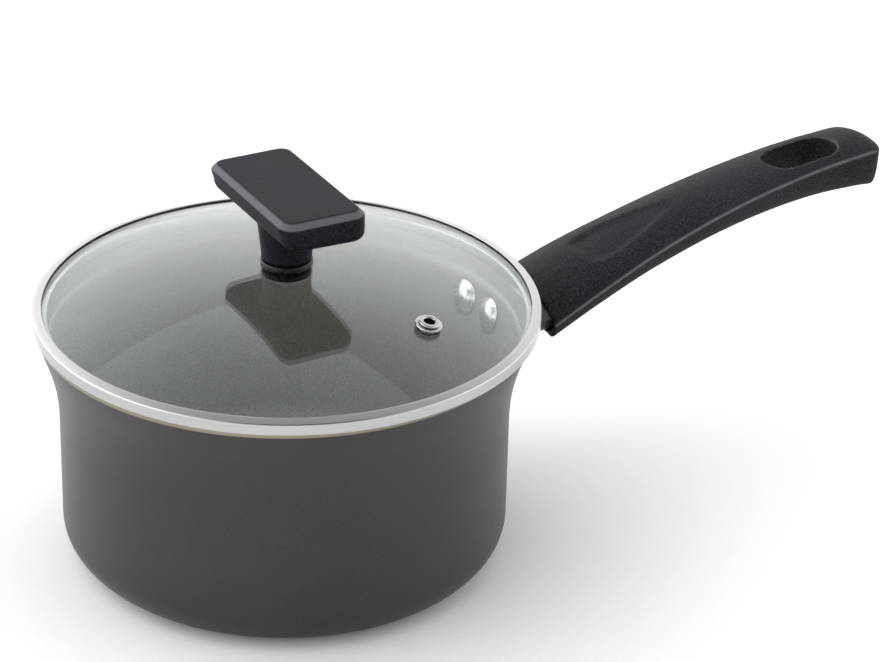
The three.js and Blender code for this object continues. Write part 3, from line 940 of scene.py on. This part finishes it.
@dataclass
class HandleGrip:
    """The moulded grip, with its curved mouth, thumb dish and hanging slot."""

    pan: PanBody
    mouth: float = 13.9
    tip: float = 172.1
    tip_round: float = 7.5
    tip_steps: int = 12
    tip_narrow: float = 0.8
    tip_lift: float = 0.25
    slot_from_tip: float = 33.3
    slot_length: float = 33.0
    slot_width: float = 18.0
    screw_from_mouth: float = 36.0
    screw_radius: float = 2.3
    screw_top: float = 90.1
    counterbore: float = 4.9
    counter_depth: float = 3.4
    mouth_depth: float = 12.0
    mouth_wall: float = 2.2
    slot_low: float = 75.0
    slot_tall: float = 60.0
    # width of the painted highlight along the side creases, and its strength round the slot
    highlight_width: float = 0.6
    slot_highlight: float = 0.35
    overrun: float = 4.0
    dish_start: float = 128.0
    dish_deepest: float = 141.0
    dish_end: float = 174.0
    dish_half: float = 11.0
    dish_depth: float = 1.7
    steps: int = 90
    stations: List[Tuple[float, float, float, float, float]] = field(
        default_factory=lambda: [
            (5.4, 23.8, -22.7, 6.9, -30.0),
            (32.9, 22.3, -11.3, 6.2, -18.7),
            (62.9, 19.3, -1.2, 5.2, -9.5),
            (97.9, 16.9, 7.8, 4.0, -1.7),
            (132.9, 15.3, 13.8, 3.0, 2.1),
            (162.9, 14.1, 16.3, 2.6, 1.2),
            (172.1, 13.6, 16.1, 2.4, -0.9),
        ]
    )

    @property
    def rim(self) -> float:
        """Radius of the pan's rim."""
        return self.pan.outer(self.pan.height)

    @property
    def mouth_radius(self) -> float:
        """Distance of the curved mouth from the pan's axis."""
        return self.rim + self.mouth

    @property
    def tip_radius(self) -> float:
        """Distance of the tip from the pan's axis."""
        return self.rim + self.tip

    def size(self, key: int, x: float) -> float:
        """Gives one of the outline's sizes, smooth between the stations.

        Args:
            key: 1 half-width, 2 crease, 3 crown, 4 belly.
            x: Distance from the pan's axis.

        Returns:
            The size there.
        """
        rows = self.stations
        out = x - self.rim
        i = next((n for n, row in enumerate(rows) if n and row[0] >= out), len(rows) - 1)
        a, b = rows[i - 1], rows[i]
        before = rows[i - 2] if i > 1 else a
        after = rows[i + 1] if i + 1 < len(rows) else b
        span = b[0] - a[0]
        first = (b[key] - before[key]) / (b[0] - before[0]) * span
        last = (after[key] - a[key]) / (after[0] - a[0]) * span
        t = (out - a[0]) / span
        ease, bow = 3 * t**2 - 2 * t**3, t**3 - 2 * t**2 + t
        return a[key] + ease * (b[key] - a[key]) + bow * first + (t**3 - t**2) * last

    def dish(self, x: float, y: float) -> float:
        """Gives how deep the teardrop thumb dish is.

        Args:
            x: Distance from the pan's axis.
            y: Distance from the handle's middle line.

        Returns:
            The depth, 0 outside the dish.
        """
        if not self.dish_start < x < self.dish_end:
            return 0.0
        if x < self.dish_deepest:
            along = (self.dish_deepest - x) / (self.dish_deepest - self.dish_start)
            half = self.dish_half * math.sqrt(max(0.0, 1 - 0.35 * along**2))
            fade = 1 - along**6
        else:
            along = (x - self.dish_deepest) / (self.dish_end - self.dish_deepest)
            half = self.dish_half * (1 - along) ** 0.75 + 1e-6
            fade = 1 - along**1.5
        across = min(1.0, abs(y) / half)
        return self.dish_depth * fade * (1 - across**6)

    def place(self, step: int, u: float, v: float) -> Vector:
        """Gives where a point of the section is.

        Args:
            step: Which section, from the mouth.
            u: Across, from -1 to 1.
            v: Up, from -1 at the belly to 1 at the crown.

        Returns:
            The place, in metres.
        """
        long = self.steps - self.tip_steps
        start_round = self.tip_radius - self.tip_round
        y = u * self.size(1, self.mouth_radius)
        if step <= long:
            for _ in range(2):
                mouth = math.sqrt(self.mouth_radius**2 - y**2)
                x = mouth + (start_round - mouth) * step / long
                y = u * self.size(1, x)
        else:
            x = start_round + self.tip_round * math.sin(
                (step - long) * math.pi / 2 / self.tip_steps
            )
        into = max(0.0, (x - start_round) / self.tip_round)
        y = u * self.size(1, x) * math.sqrt(1 - self.tip_narrow * into**3)
        middle = self.pan.height + self.size(2, x)
        crown = self.size(3, x) * (1 - self.tip_narrow * into**3)
        belly = (middle - self.pan.height - self.size(4, x)) * (1 - self.tip_lift * into**3)
        z = middle + v * (crown if v > 0 else belly)
        if v > 0:
            z -= self.dish(x, y)
        return Vector((x, y, z)) * MM

    def painted_highlight(self, place: Vector, _normal: Vector) -> float:
        """Says how much painted highlight the grip gets: most along its side creases, as their light
        line, less round the slot.

        Args:
            place: A place on it, in millimetres.
            _normal: Which way the surface faces there, which makes no difference here.

        Returns:
            0 where no highlight is painted, up to 1.
        """
        crease = self.pan.height + self.size(2, place.x)
        away = math.hypot(abs(place.y) - self.size(1, place.x), place.z - crease)
        middle = self.tip_radius - self.slot_from_tip
        past = max(0.0, abs(place.x - middle) - (self.slot_length - self.slot_width) / 2)
        rim = abs(math.hypot(past, place.y) - self.slot_width / 2)
        upper = 1.0 if place.z > crease + 2 * self.highlight_width else 0.0
        along_crease = math.exp(-((away / self.highlight_width) ** 2))
        round_slot = math.exp(-((rim / self.highlight_width) ** 2))
        return along_crease + self.slot_highlight * upper * round_slot

    def _mouth_pocket(self) -> bmesh.types.BMesh:
        """Builds the hollow of the mouth, a wall's thickness inside the outline.

        Returns:
            The hollow, which starts well outside the curved mouth.
        """
        steps, wall, ahead = 8, self.mouth_wall, 9

        def place(step: int, u: float, v: float) -> Vector:
            """Gives where a point of the hollow is, in metres.

            Args:
                step: Which section, from the inner end.
                u: Across, from -1 to 1.
                v: Up, from -1 at the foot to 1 at the crown.

            Returns:
                The place.
            """
            x = self.mouth_radius - ahead + (self.mouth_depth + ahead) * step / steps
            half = self.size(1, x) - wall
            middle = self.pan.height + self.size(2, x)
            low = self.pan.height + self.size(4, x) + wall
            high = middle + self.size(3, x) - wall
            z = middle + (v * (high - middle) if v > 0 else v * (middle - low))
            return Vector((x, u * half, z)) * MM

        return lofted(unit_section(), steps, place)

    def _slot(self) -> bmesh.types.BMesh:
        """Builds the hanging slot.

        Returns:
            A tall stadium, right through the grip.
        """
        bm = bmesh.new()
        radius = self.slot_width / 2 * MM
        bmesh.ops.create_circle(bm, cap_ends=True, radius=radius, segments=64)
        reach = (self.slot_length / 2 - self.slot_width / 2) * MM
        for vert in bm.verts:
            vert.co.x += reach if vert.co.x > 0 else -reach
        tall = bmesh.ops.extrude_face_region(bm, geom=bm.faces[:])["geom"]
        verts = [part for part in tall if isinstance(part, bmesh.types.BMVert)]
        bmesh.ops.translate(bm, verts=verts, vec=(0, 0, self.slot_tall * MM))
        x = (self.tip_radius - self.slot_from_tip) * MM
        bmesh.ops.translate(bm, verts=bm.verts, vec=(x, 0, self.slot_low * MM))
        bmesh.ops.recalc_face_normals(bm, faces=bm.faces)
        return bm

    def _bores(self) -> List[bmesh.types.BMesh]:
        """Builds the screw's hole and its counterbore.

        Returns:
            The counterbore and the hole, both from below the belly.
        """
        x = self.mouth_radius + self.screw_from_mouth
        belly = self.pan.height + self.size(4, x)
        top = belly + self.counter_depth
        return [
            rod(self.counterbore, belly - 1.5 * self.overrun, top, x, segments=48),
            rod(self.screw_radius, belly - self.overrun, self.screw_top, x, segments=48),
        ]

    def build(self) -> None:
        """Builds the grip."""
        piece = as_object("moulded_grip", lofted(unit_section(), self.steps, self.place))
        for cutter in (self._mouth_pocket(), self._slot(), *self._bores()):
            cut(piece, cutter)
        soften(piece, cell=0.58, passes=4, painted_highlight=self.painted_highlight)
        dress(piece, [HANDLE_PHENOLIC], "pan", ["handle_grip"], crease=80.0)


# ---- lid ----


@dataclass
class LidPlace:
    """How the lid lies on the pan."""

    turn: float = -2.0
    shift: Tuple[float, float] = (0.7, -0.4)
    height: float = 93.4

    def matrix(self) -> Matrix:
        """Gives the lid's frame, in metres.

        Returns:
            The frame on the pan.
        """
        place = (self.shift[0] * MM, self.shift[1] * MM, self.height * MM)
        return Matrix.Translation(place) @ Matrix.Rotation(math.radians(self.turn), 4, "Z")

    def put(self, bm: bmesh.types.BMesh, inner: Matrix | None = None) -> bmesh.types.BMesh:
        """Moves a shape from the lid's own frame into place.

        Args:
            bm: The shape, which is moved.
            inner: A place within the lid, if it has one.

        Returns:
            The same shape.
        """
        matrix = self.matrix() @ inner if inner else self.matrix()
        bmesh.ops.transform(bm, matrix=matrix, verts=bm.verts)
        return bm


@dataclass
class LidGlass:
    """The domed glass, with its holes for the knob's screw and the vent."""

    place: LidPlace
    radius: float = 92.05
    thickness: float = 3.0
    dome: float = 277.0
    centre: float = -257.38
    knob_hole: float = 3.3
    vent_hole: float = 3.1
    bore_reach: float = 10.0
    edge: float = 0.5

    def top(self, r: float) -> float:
        """Height of the glass's upper face."""
        return self.centre + math.sqrt(self.dome**2 - r**2)

    def under(self, r: float) -> float:
        """Height of the glass's lower face."""
        return self.centre + math.sqrt((self.dome - self.thickness) ** 2 - r**2)

    def profile(self) -> Profile:
        """Gives the glass's outline, its edge ground round.

        Returns:
            Its radii and heights in the lid's frame.
        """
        steps = 40
        inner, outer = self.knob_hole, self.radius - self.edge
        places = [inner + (outer - inner) * i / steps for i in range(steps + 1)]
        low, high = self.under(self.radius), self.top(self.radius)
        return (
            [(r, self.under(r)) for r in places]
            + [(self.radius - 0.15, low + 0.15), (self.radius, low + 0.5),
               (self.radius, high - 0.5), (self.radius - 0.15, high - 0.05)]
            + [(r, self.top(r)) for r in reversed(places)]
        )

    def build(self, vent: Matrix) -> None:
        """Builds the glass.

        Args:
            vent: The vent's frame within the lid.
        """
        piece = as_object("domed_glass", self.place.put(turned(self.profile(), steps=224)))
        bore = rod(self.vent_hole, self.dome - self.bore_reach, self.dome + self.bore_reach)
        cut(piece, self.place.put(bore, vent))
        dress(piece, [GLASS], "lid", ["lid_glass"], crease=40.0)


@dataclass
class LidBand:
    """The folded stainless band round the glass."""

    place: LidPlace
    glass: LidGlass
    radius: float = 93.2
    sheet: float = 0.4
    height: float = 3.9
    lip: float = 3.6
    lip_round: float = 1.0
    skirt: float = 87.45
    skirt_drop: float = 3.4

    def profile(self) -> Profile:
        """Gives the band's section: skirt, flange, outer face and the lip over the glass.

        Returns:
            Its radii and heights in the lid's frame.
        """
        out, sheet = self.radius, self.sheet
        lip = out - self.lip
        lip_under = self.glass.top(lip) + 0.3
        shoulder = self.glass.top(self.glass.radius) + 0.3
        return [
            (self.skirt, -self.skirt_drop),
            (self.skirt, -0.5), (self.skirt + 0.15, -0.15), (self.skirt + 0.5, 0.0),
            *arc((out - 0.6, 0.6), 0.6, -90, 0, 8),
            (out, self.height / 2), (out, self.height - 0.15),
            *arc((out - 0.7, self.height), 0.7, 0, 68, 12),
            (lip + 0.9, lip_under + sheet - 0.16),
            *arc((lip + 0.25, lip_under + sheet - 0.25), 0.25, 72, 200, 8),
            (lip + 0.08, lip_under),
            (out - self.lip_round, shoulder),
            (out - sheet, self.height - sheet / 2), (out - sheet, sheet),
            (self.skirt - sheet + 0.5, sheet), (self.skirt - sheet + 0.1, sheet - 0.2),
            (self.skirt - sheet, -0.1), (self.skirt - sheet, -self.skirt_drop),
        ]

    def build(self) -> None:
        """Builds the band."""
        piece = as_object("folded_band", self.place.put(turned(self.profile(), steps=256)))
        dress(piece, [POLISHED_STEEL], "lid", ["lid_band"], crease=38.0)


@dataclass
class Vent:
    """The steam vent: a rolled eyelet through the glass, on its washer."""

    place: LidPlace
    glass: LidGlass
    radius: float = 61.5
    angle: float = -61.3
    bore: float = 2.1
    tube: float = 2.8
    washer: float = 5.0
    washer_thickness: float = 0.7
    roll: float = 3.9
    roll_thickness: float = 0.8
    gasket_thickness: float = 1.0
    foot: float = 4.2
    gap: float = 0.3

    def matrix(self) -> Matrix:
        """Gives the vent's frame within the lid.

        Returns:
            The frame, its origin at the dome's centre and its +Z through the vent.
        """
        lean = math.asin(self.radius / self.glass.dome)
        return (
            Matrix.Translation((0, 0, self.glass.centre * MM))
            @ Matrix.Rotation(math.radians(self.angle), 4, "Z")
            @ Matrix.Rotation(lean, 4, "Y")
        )

    def build(self) -> None:
        """Builds the washer and the eyelet."""
        low = self.glass.dome + self.gap
        high = low + self.washer_thickness
        inner = self.tube + self.gap
        washer = [
            (inner, low), (self.washer - 0.1, low), (self.washer, low + 0.12),
            (self.washer, high - 0.3), (self.washer - 0.1, high - 0.1),
            (self.washer - 0.35, high), (inner, high),
        ]
        roll = high + self.gap
        crest = roll + self.roll_thickness
        foot_high = self.glass.dome - self.glass.thickness - 2 * self.gap - self.gasket_thickness
        foot_low = foot_high - self.roll_thickness
        eyelet = (
            [(self.bore, foot_low), (self.foot - 0.2, foot_low), (self.foot, foot_low + 0.2),
             (self.foot, foot_high), (self.tube, foot_high), (self.tube, roll),
             (self.roll - 0.15, roll), (self.roll, roll + 0.15)]
            + arc((self.roll - 0.45, crest - 0.45), 0.45, 0, 90, 5)
            + arc((self.bore + 0.45, crest - 0.45), 0.45, 90, 180, 5)
        )
        for name, profile, node in (
            ("vent_ring", washer, "vent_washer"), ("vent_rolled_eyelet", eyelet, "vent_eyelet"),
        ):
            bm = self.place.put(turned(profile, steps=72), self.matrix())
            dress(as_object(name, bm), [POLISHED_STEEL], "lid", [node])


@dataclass
class Knob:
    """The bar-shaped knob on its waisted stem, with the silicone collar at its foot."""

    place: LidPlace
    length: float = 66.0
    width: float = 34.0
    thickness: float = 12.0
    corner: float = 6.0
    bevel: float = 2.4
    low_bevel: float = 3.4
    side_lift: float = 2.2
    stem_low: float = 22.65
    stem_height: float = 16.6
    stem_top: float = 11.2
    stem_foot: float = 9.3
    turn: float = -90.0
    insert: float = 4.2
    insert_depth: float = 15.0
    flange: float = 5.5
    collar: float = 9.7
    collar_low: float = 19.92
    collar_height: float = 2.4
    collar_bore: float = 2.6
    # the facing of the bevel that gets the painted highlight, and how wide a spread of facings it
    # covers
    highlight_facing: float = 0.68
    highlight_spread: float = 0.16

    def _bar(self) -> bmesh.types.BMesh:
        """Builds the bar: a block with rounded corners, a bevelled top and a softer underside.

        Returns:
            The bar, in the lid's frame.
        """
        bm = bmesh.new()
        bmesh.ops.create_cube(bm, size=1.0)
        bmesh.ops.scale(
            bm, verts=bm.verts,
            vec=(self.length * MM, self.width * MM, self.thickness * MM),
        )
        upright = [e for e in bm.edges if abs((e.verts[0].co - e.verts[1].co).z) > 1e-4]
        bmesh.ops.bevel(
            bm, geom=upright, offset=self.corner * MM, offset_type="OFFSET", segments=10,
            profile=0.5, affect="EDGES", material=-1,
        )
        for side, offset, segments in ((1, self.bevel, 1), (-1, self.low_bevel, 6)):
            loop = [
                e for e in bm.edges
                if all(v.co.z * side > self.thickness * 0.499 * MM for v in e.verts)
            ]
            bmesh.ops.bevel(
                bm, geom=loop, offset=offset * MM, offset_type="OFFSET", segments=segments,
                profile=0.5, affect="EDGES", material=-1,
            )
        for vert in bm.verts:
            if vert.co.z < 0:
                far = max(0.0, -vert.co.y / (self.width / 2 * MM)) ** 3
                vert.co.z += self.side_lift * MM * far
                vert.co.y += self.side_lift * 0.6 * MM * far
        height = self.stem_low + self.stem_height + self.thickness / 2
        bmesh.ops.translate(bm, verts=bm.verts, vec=(0, 0, height * MM))
        bmesh.ops.rotate(
            bm, verts=bm.verts, cent=(0, 0, 0),
            matrix=Matrix.Rotation(math.radians(self.turn), 3, "Z"),
        )
        bmesh.ops.recalc_face_normals(bm, faces=bm.faces)
        return bm

    def _stem(self) -> bmesh.types.BMesh:
        """Builds the waisted stem, a little way into the bar.

        Returns:
            The stem, in the lid's frame.
        """
        low, top = self.stem_low, self.stem_low + self.stem_height
        return turned(
            [
                (0.0, low), (self.stem_foot - 0.6, low), (self.stem_foot, low + 0.6),
                (self.stem_foot + 0.2, low + self.stem_height * 0.2),
                (self.stem_foot + 0.6, low + self.stem_height * 0.45),
                (self.stem_foot + 1.2, low + self.stem_height * 0.75),
                (self.stem_top, top - 0.6), (self.stem_top + 0.9, top), (self.stem_top + 1.6, top + 2),
                (0.0, top + 2.0),
            ],
            closed=False, steps=96,
        )

    def painted_highlight(self, place: Vector, normal: Vector) -> float:
        """Says how much painted highlight the knob gets: along the bevel round its top, as its light
        strip.

        Args:
            place: A place on it, in millimetres.
            normal: Which way the surface faces there.

        Returns:
            0 where no highlight is painted, up to 1.
        """
        top = self.stem_low + self.stem_height + self.thickness
        if place.z < top - 2 * self.bevel:
            return 0.0
        return math.exp(-(((normal.z - self.highlight_facing) / self.highlight_spread) ** 2))

    def _bore(self) -> bmesh.types.BMesh:
        """Builds the recess for the brass insert and its flange.

        Returns:
            The recess, in the lid's frame.
        """
        low = self.stem_low
        return turned(
            [
                (0.0, low - 1), (self.flange, low - 1), (self.flange, low + 2),
                (self.insert, low + 2), (self.insert, low + self.insert_depth + 1.6),
                (0.0, low + self.insert_depth + 1.6),
            ],
            closed=False, steps=48,
        )

    def build(self) -> None:
        """Builds the knob and its collar."""
        piece = as_object("bar_knob", self._bar())
        join(piece, self._stem())
        cut(piece, self._bore())
        soften(piece, cell=0.38, passes=4, painted_highlight=self.painted_highlight)
        piece.data.transform(self.place.matrix())
        dress(piece, [KNOB_PHENOLIC], "lid", ["knob_grip"], crease=80.0)
        low, high, out = self.collar_low, self.collar_low + self.collar_height, self.collar
        ring = (
            [(self.collar_bore, low), (out - 0.5, low)]
            + arc((out - 0.6, low + 0.6), 0.6, -60, 0, 5)
            + arc((out - 0.6, high - 0.6), 0.6, 0, 90, 6)
            + [(self.collar_bore, high)]
        )
        collar = as_object("soft_collar", self.place.put(turned(ring, steps=96)))
        dress(collar, [SILICONE], "lid", ["knob_collar"])


# ---- studio ----


@dataclass
class Studio:
    """Pale floor, soft light and the camera."""

    target: Tuple[float, float, float] = (0.0, 0.0, 0.0977)
    distance: float = 1.1
    elevation: float = 26.75
    azimuth: float = 28.0
    lens: float = 122.14
    shift: Tuple[float, float] = (0.179, -0.0333)
    floor_half: float = 6.0
    floor_drop: float = 0.0002
    sky: float = 1.4
    sky_front: float = 0.62
    sky_left: float = 1.6
    sky_right: float = 0.6
    sky_top: float = -0.85
    sky_tone: Tuple[float, float, float, float] = (0.975, 0.99, 1.0, 1.0)
    overhead: float = 14.0
    overhead_size: float = 2.4
    overhead_place: Tuple[float, float, float] = (-0.1, 0.5, 2.0)
    overhead_aim: Tuple[float, float, float] = (0.05, 0.0, 0.06)

    def floor(self) -> None:
        """Lays the floor, a broad sheet of matt paper that can be looked through from below."""
        bm = bmesh.new()
        bmesh.ops.create_grid(bm, x_segments=8, y_segments=8, size=self.floor_half)
        sheet = as_object("floor", bm)
        paper = Finish(
            "White paper", (0.95, 0.95, 0.95), (0.97, 0.97, 0.97), 0.8, 0.95,
            scale=500.0, relief=0.01, specular=0.1,
        )
        sheet.data.materials.append(paper.build())
        side = sheet.data.materials[0].node_tree.nodes.new("ShaderNodeNewGeometry")
        see_through(sheet.data.materials[0], side.outputs["Backfacing"])
        sheet.location.z = -self.floor_drop
        sheet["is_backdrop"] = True

    def light(self) -> None:
        """Sets the sky, which is brighter behind and to the left, and hangs one soft box."""
        scene = bpy.context.scene
        world = bpy.data.worlds.new("Studio")
        world.use_nodes = True
        nodes, links = world.node_tree.nodes, world.node_tree.links
        sky = nodes["Background"]
        sky.inputs["Color"].default_value = self.sky_tone
        way = nodes.new("ShaderNodeTexCoord")
        a = math.radians(self.azimuth)
        towards_front = (-math.sin(a), -math.cos(a), 0.0)
        towards_left = (-math.cos(a), math.sin(a), 0.0)
        towards_right = tuple(-part for part in towards_left)
        total = None
        for axis, start, end, low, high in (
            (towards_front, -0.1, 0.8, self.sky, self.sky_front),
            (towards_left, 0.1, 0.95, 0.0, self.sky_left),
            (towards_right, 0.4, 0.95, 0.0, self.sky_right),
            ((0.0, 0.0, 1.0), 0.45, 0.95, 0.0, self.sky_top),
        ):
            along = nodes.new("ShaderNodeVectorMath")
            along.operation = "DOT_PRODUCT"
            along.inputs[1].default_value = axis
            spread = nodes.new("ShaderNodeMapRange")
            spread.interpolation_type = "SMOOTHSTEP"
            for key, value in (
                ("From Min", start), ("From Max", end), ("To Min", low), ("To Max", high),
            ):
                spread.inputs[key].default_value = value
            links.new(way.outputs["Generated"], along.inputs[0])
            links.new(along.outputs["Value"], spread.inputs["Value"])
            if total is None:
                total = spread.outputs["Result"]
            else:
                add = nodes.new("ShaderNodeMath")
                links.new(total, add.inputs[0])
                links.new(spread.outputs["Result"], add.inputs[1])
                total = add.outputs["Value"]
        links.new(total, sky.inputs["Strength"])
        scene.world = world
        lamp = bpy.data.lights.new("overhead", "AREA")
        lamp.shape = "SQUARE"
        lamp.size = self.overhead_size
        lamp.energy = self.overhead
        box = bpy.data.objects.new("overhead", lamp)
        box.location = self.overhead_place
        box.visible_glossy = False
        aim = Vector(self.overhead_aim) - box.location
        box.rotation_mode = "QUATERNION"
        box.rotation_quaternion = aim.to_track_quat("-Z", "Y")
        scene.collection.objects.link(box)

    def camera(self) -> None:
        """Sets up the camera."""
        e, a = math.radians(self.elevation), math.radians(self.azimuth)
        ahead = Vector((math.sin(a) * math.cos(e), math.cos(a) * math.cos(e), -math.sin(e)))
        lens = bpy.data.cameras.new("camera")
        lens.sensor_width = 36.0
        lens.lens = self.lens
        lens.shift_x, lens.shift_y = self.shift
        lens.clip_start, lens.clip_end = 0.05, 30.0
        eye = bpy.data.objects.new("camera", lens)
        eye.location = Vector(self.target) - ahead * self.distance
        eye.rotation_mode = "QUATERNION"
        eye.rotation_quaternion = ahead.to_track_quat("-Z", "Y")
        bpy.context.scene.collection.objects.link(eye)
        bpy.context.scene.camera = eye

    def build(self) -> None:
        """Builds the whole studio."""
        self.camera()
        self.floor()
        self.light()
        bpy.context.scene.view_settings.view_transform = "Standard"


def main() -> None:
    """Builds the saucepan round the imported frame."""
    logging.basicConfig(level=logging.INFO, format="%(message)s")
    Studio().build()
    pan = PanBody()
    pan.build()
    Rivets(pan).build()
    FlameGuard(pan).build()
    HandleGrip(pan).build()
    place = LidPlace()
    glass = LidGlass(place)
    vent = Vent(place, glass)
    glass.build(vent.matrix())
    LidBand(place, glass).build()
    vent.build()
    Knob(place).build()
    for node in ("handle_bracket", "handle_screw", "handle_screw_washer", "knob_washer",
                 "knob_lock_washer", "knob_screw"):
        redress(node, ZINC_STEEL)
    for node in ("knob_gasket", "vent_gasket"):
        redress(node, SILICONE)
    redress("knob_insert", BRASS)
    sizes = {"cad": cad_box, "visual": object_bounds()}
    {key: [list(corner) for corner in box] for key, box in sizes.items()}


if __name__ == "__main__":
    main()
